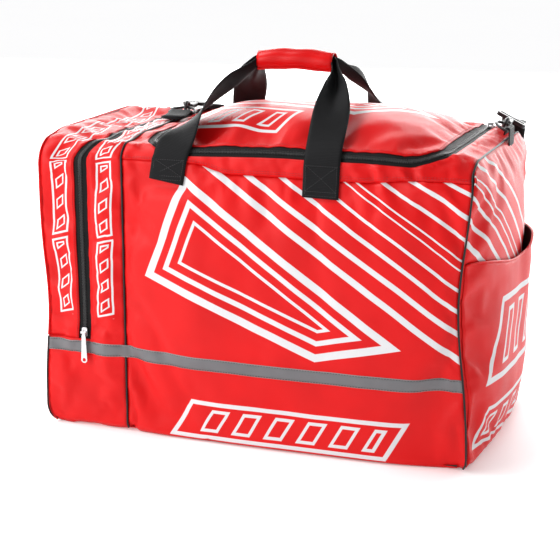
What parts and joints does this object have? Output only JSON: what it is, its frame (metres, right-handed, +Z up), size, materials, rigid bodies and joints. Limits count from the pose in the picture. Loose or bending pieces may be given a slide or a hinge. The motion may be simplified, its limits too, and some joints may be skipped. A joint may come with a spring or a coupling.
{
  "type": "soft sports equipment bag",
  "caption": "Two-compartment soft sports duffel with a zipped lid, a zipped clamshell end, an end pocket, carry handles and a shoulder strap.",
  "frame": {"origin": "middle of the base, on the surface that the bag stands on", "axes": "+X along the bag towards the end pocket, -Y to the front, +Z up"},
  "size_m": [0.6941, 0.414, 0.569],
  "materials": {
    "red_polyester": "coated woven polyester with a soft sheen and white print",
    "stiffener_board": "matt plastic board",
    "black_piping": "woven piping",
    "reflective_tape": "grey reflective tape with pale edges",
    "zip_tape": "woven zip tape",
    "zip_coil": "nylon coil",
    "black_webbing": "ribbed polypropylene webbing",
    "black_plastic": "acetal, fine texture",
    "zinc_slider": "plated zinc casting"
  },
  "bodies": {
    "bag": {"base_panel": "red_polyester", "base_board": "stiffener_board", "front_panel": "red_polyester", "back_panel": "red_polyester", "right_end_panel": "red_polyester", "end_pocket": "red_polyester", "pocket_binding": "black_piping", "top_frame": "red_polyester", "divider_wall": "red_polyester", "end_gusset": "red_polyester", "end_sill": "red_polyester", "divider_piping": "black_piping", "right_end_piping": "black_piping", "reflective_tape": "reflective_tape", "main_zip_tape": "zip_tape", "main_zip_coil": "zip_coil", "end_zip_tape": "zip_tape", "end_zip_coil": "zip_coil", "front_anchor_left": "black_webbing", "front_anchor_right": "black_webbing", "rear_anchor_left": "black_webbing", "rear_anchor_right": "black_webbing", "ring_tab_left": "black_webbing", "ring_tab_right": "black_webbing", "d_ring_left": "black_plastic", "d_ring_right": "black_plastic", "strap_hook_left": "black_plastic", "strap_hook_right": "black_plastic", "strap_eye_left": "black_plastic", "strap_eye_right": "black_plastic", "shoulder_strap": "black_webbing"},
    "lid": {"lid_panel": "red_polyester", "lid_zip_tape": "zip_tape"},
    "end_door": {"door_panel": "red_polyester", "door_gusset": "red_polyester", "door_piping": "black_piping", "door_zip_tape": "zip_tape"},
    "front_handle": {"front_handle_webbing": "black_webbing", "grip_wrap": "red_polyester"},
    "rear_handle": {"rear_handle_webbing": "black_webbing"},
    "end_zip_slider_body": {"end_zip_slider": "zinc_slider"},
    "end_zip_pull_body": {"end_zip_pull": "zinc_slider"},
    "main_zip_slider_body": {"main_zip_slider": "zinc_slider"},
    "main_zip_pull_body": {"main_zip_pull": "zinc_slider"}
  },
  "joints": [
    {"name": "lid_hinge", "type": "hinge", "parent": "bag", "child": "lid", "pos_m": [0.064, 0.151, 0.453], "axis": [-1, 0, 0], "range_deg": [0, 125], "deforming": ["front_handle_webbing"]},
    {"name": "front_handle_swing", "type": "hinge", "parent": "bag", "child": "front_handle", "pos_m": [0, -0.182, 0.4505], "axis": [1, 0, 0], "range_deg": [0, 201]},
    {"name": "rear_handle_swing", "type": "hinge", "parent": "bag", "child": "rear_handle", "pos_m": [0, 0.182, 0.4505], "axis": [-1, 0, 0], "range_deg": [0, 201]},
    {"name": "end_door_hinge", "type": "hinge", "parent": "bag", "child": "end_door", "pos_m": [-0.33, 0, 0.139], "axis": [0, -1, 0], "range_deg": [0, 100]},
    {"name": "end_zip_slide", "type": "slide", "parent": "bag", "child": "end_zip_slider_body", "axis": [0, 0, 1], "range_m": [0, 0.27]},
    {"name": "end_pull_hinge", "type": "hinge", "parent": "end_zip_slider_body", "child": "end_zip_pull_body", "pos_m": [-0.2605, -0.18755, 0.152], "axis": [-1, 0, 0], "range_deg": [0, 150]},
    {"name": "main_zip_slide", "type": "slide", "parent": "bag", "child": "main_zip_slider_body", "axis": [0, -1, 0], "range_m": [0, 0.2]},
    {"name": "main_pull_hinge", "type": "hinge", "parent": "main_zip_slider_body", "child": "main_zip_pull_body", "pos_m": [0.2933, 0.112, 0.45755], "axis": [1, 0, 0], "range_deg": [0, 165]}
  ],
  "couplings": [
    {"joint": "front_handle_swing", "follows": "lid_hinge", "ratio": 1.6},
    {"joint": "rear_handle_swing", "follows": "lid_hinge", "ratio": 1.6}
  ]
}
